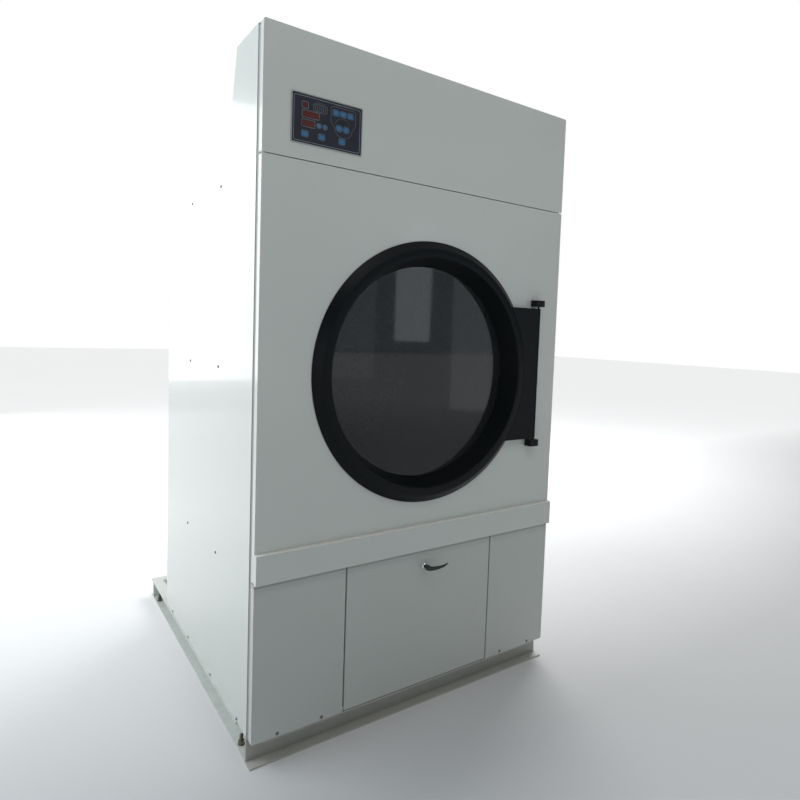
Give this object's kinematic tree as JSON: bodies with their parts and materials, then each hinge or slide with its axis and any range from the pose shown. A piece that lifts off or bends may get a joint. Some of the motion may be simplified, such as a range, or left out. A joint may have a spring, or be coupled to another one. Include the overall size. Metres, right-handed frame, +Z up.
{
  "type": "industrial tumble dryer",
  "caption": "Tall free-standing laundry tumble dryer with a round glazed loading door, keypad, lint door and a steel channel base.",
  "frame": {"origin": "on the floor, under the middle of the whole part's box", "axes": "+X to the right seen from the front, +Y from the loading door to the back, +Z up"},
  "size_m": [1.205, 1.4139, 2.13],
  "materials": {
    "cream_coat": "gloss off-white powder coat",
    "zinc_steel": "zinc plated",
    "chrome": "polished chrome",
    "door_black": "satin black paint",
    "door_glass": "clear toughened glass",
    "rubber": "matt black",
    "stainless": "satin stainless",
    "motor_paint": "grey enamel",
    "cast_iron": "dark machined casting",
    "overlay": "satin dark film",
    "key_blue": "satin blue",
    "galvanised": "galvanised sheet"
  },
  "bodies": {
    "cabinet": {"base_channel_front": "cream_coat", "base_channel_rear": "cream_coat", "base_channel_left": "cream_coat", "anchor_bolt_left_front": "zinc_steel", "anchor_bolt_left_rear": "zinc_steel", "base_channel_right": "cream_coat", "anchor_bolt_right_front": "zinc_steel", "anchor_bolt_right_rear": "zinc_steel", "base_crossmember": "cream_coat", "side_panel_left": "cream_coat", "front_post_left": "galvanised", "side_panel_right": "cream_coat", "front_post_right": "galvanised", "top_cover": "cream_coat", "hood_shell": "cream_coat", "rear_panel": "cream_coat", "front_panel": "cream_coat", "control_fascia": "cream_coat", "ledge_trim": "cream_coat", "lower_panel_left": "cream_coat", "lower_panel_right": "cream_coat", "lint_hinge_left": "zinc_steel", "lint_hinge_right": "zinc_steel", "hinge_block_upper": "door_black", "hinge_block_lower": "door_black", "drum_collar": "galvanised", "bearing_housing": "cast_iron", "drive_belt": "rubber", "drive_gearmotor": "motor_paint", "lint_chamber": "galvanised", "lint_screen": "zinc_steel", "blower_housing": "galvanised", "blower_motor": "motor_paint", "heater_box": "galvanised", "control_box": "galvanised", "control_bezel": "zinc_steel", "control_overlay": "overlay"},
    "loading_door": {"door_ring": "door_black", "door_hinge_plate": "door_black", "door_glass": "door_glass", "glass_retainer": "zinc_steel", "door_seal": "rubber"},
    "lint_door": {"lint_door": "cream_coat", "latch_boss": "chrome"},
    "latch": {"latch_lever": "chrome"},
    "drum": {"drum_shell": "stainless", "drum_shaft": "zinc_steel", "drum_pulley": "cast_iron"},
    "motor_pulley": {"drive_pulley": "cast_iron"},
    "fan_wheel": {"blower_impeller": "zinc_steel"},
    "key_top_1_cap": {"key_top_1": "key_blue"},
    "key_top_2_cap": {"key_top_2": "key_blue"},
    "key_top_3_cap": {"key_top_3": "key_blue"},
    "key_oval_1_cap": {"key_oval_1": "key_blue"},
    "key_oval_2_cap": {"key_oval_2": "key_blue"},
    "key_square_1_cap": {"key_square_1": "key_blue"},
    "key_square_2_cap": {"key_square_2": "key_blue"},
    "key_square_3_cap": {"key_square_3": "key_blue"},
    "key_round_1_cap": {"key_round_1": "key_blue"},
    "key_round_2_cap": {"key_round_2": "key_blue"}
  },
  "joints": [
    {"name": "loading_door_hinge", "type": "hinge", "parent": "cabinet", "child": "loading_door", "pos_m": [0.483, -0.682, 1.16], "axis": [0, 0, 1], "range_deg": [0, 165]},
    {"name": "lint_door_hinge", "type": "hinge", "parent": "cabinet", "child": "lint_door", "pos_m": [0, -0.661, 0.086], "axis": [1, 0, 0], "range_deg": [0, 90]},
    {"name": "latch_turn", "type": "hinge", "parent": "lint_door", "child": "latch", "pos_m": [0, -0.667, 0.497], "axis": [0, 1, 0], "range_deg": [0, 90]},
    {"name": "drum_spin", "type": "hinge", "parent": "cabinet", "child": "drum", "pos_m": [0, -0.187, 1.16], "axis": [0, 1, 0], "continuous": true},
    {"name": "motor_pulley_spin", "type": "hinge", "parent": "cabinet", "child": "motor_pulley", "pos_m": [0.22, 0.458, 0.235], "axis": [0, 1, 0], "continuous": true},
    {"name": "fan_spin", "type": "hinge", "parent": "cabinet", "child": "fan_wheel", "pos_m": [-0.15, 0.333, 0.33], "axis": [0, 1, 0], "continuous": true},
    {"name": "key_top_1_press", "type": "slide", "parent": "cabinet", "child": "key_top_1_cap", "axis": [0, 1, 0], "range_m": [0, 0.0005], "stiffness_N_per_m": 800, "springref_m": -0.0002},
    {"name": "key_top_2_press", "type": "slide", "parent": "cabinet", "child": "key_top_2_cap", "axis": [0, 1, 0], "range_m": [0, 0.0005], "stiffness_N_per_m": 800, "springref_m": -0.0002},
    {"name": "key_top_3_press", "type": "slide", "parent": "cabinet", "child": "key_top_3_cap", "axis": [0, 1, 0], "range_m": [0, 0.0005], "stiffness_N_per_m": 800, "springref_m": -0.0002},
    {"name": "key_oval_1_press", "type": "slide", "parent": "cabinet", "child": "key_oval_1_cap", "axis": [0, 1, 0], "range_m": [0, 0.0005], "stiffness_N_per_m": 800, "springref_m": -0.0002},
    {"name": "key_oval_2_press", "type": "slide", "parent": "cabinet", "child": "key_oval_2_cap", "axis": [0, 1, 0], "range_m": [0, 0.0005], "stiffness_N_per_m": 800, "springref_m": -0.0002},
    {"name": "key_square_1_press", "type": "slide", "parent": "cabinet", "child": "key_square_1_cap", "axis": [0, 1, 0], "range_m": [0, 0.0005], "stiffness_N_per_m": 800, "springref_m": -0.0002},
    {"name": "key_square_2_press", "type": "slide", "parent": "cabinet", "child": "key_square_2_cap", "axis": [0, 1, 0], "range_m": [0, 0.0005], "stiffness_N_per_m": 800, "springref_m": -0.0002},
    {"name": "key_square_3_press", "type": "slide", "parent": "cabinet", "child": "key_square_3_cap", "axis": [0, 1, 0], "range_m": [0, 0.0005], "stiffness_N_per_m": 800, "springref_m": -0.0002},
    {"name": "key_round_1_press", "type": "slide", "parent": "cabinet", "child": "key_round_1_cap", "axis": [0, 1, 0], "range_m": [0, 0.0005], "stiffness_N_per_m": 800, "springref_m": -0.0002},
    {"name": "key_round_2_press", "type": "slide", "parent": "cabinet", "child": "key_round_2_cap", "axis": [0, 1, 0], "range_m": [0, 0.0005], "stiffness_N_per_m": 800, "springref_m": -0.0002}
  ],
  "couplings": [
    {"joint": "motor_pulley_spin", "follows": "drum_spin", "ratio": 5}
  ]
}
